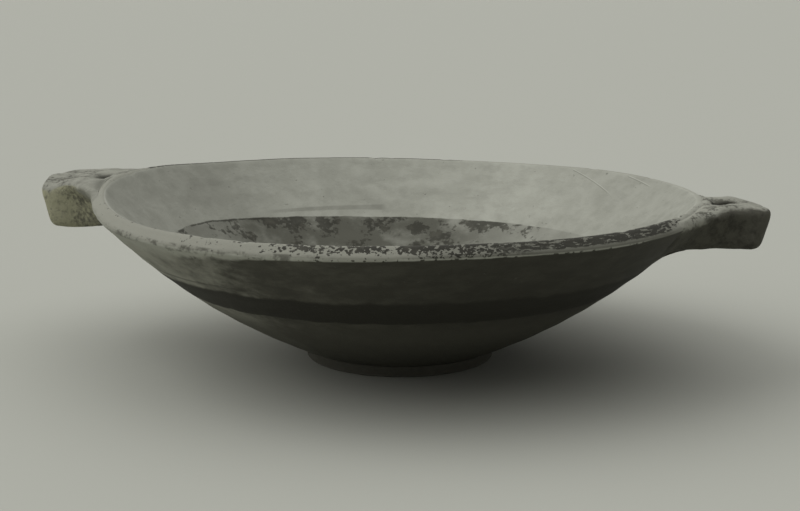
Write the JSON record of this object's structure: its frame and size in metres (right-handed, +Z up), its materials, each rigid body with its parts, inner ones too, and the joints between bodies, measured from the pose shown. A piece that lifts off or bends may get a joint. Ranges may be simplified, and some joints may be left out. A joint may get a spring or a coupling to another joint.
{
  "type": "two-handled pottery bowl",
  "caption": "Shallow flaring pottery bowl on a low ring foot, with opposed horizontal strap handles luted to the rim, pale slip and worn dark painted bands.",
  "frame": {"origin": "on the bowl's axis, on the plane that the foot stands on", "axes": "+Z up along the bowl's axis, X through both handles with the right-hand handle of the pictured side on +X, and the pictured side facing -Y"},
  "size_m": [0.3751, 0.3118, 0.0893],
  "materials": {
    "slipped_clay": "unglazed fired clay, pale slip inside and on the rim, worn dark paint in bands",
    "foot_clay": "unglazed grey-brown fired clay, worn where it stands",
    "luting_clay": "unglazed clay smeared by hand into the joints",
    "painted_clay": "brown-black paint over pale slip, flaked on the upper faces"
  },
  "bodies": {
    "root": {"bowl_body": "slipped_clay", "foot_ring": "foot_clay", "foot_lute": "luting_clay", "handle_left": "painted_clay", "handle_right": "painted_clay", "lute_left_near": "luting_clay", "lute_left_far": "luting_clay", "lute_right_near": "luting_clay", "lute_right_far": "luting_clay"}
  },
  "joints": []
}
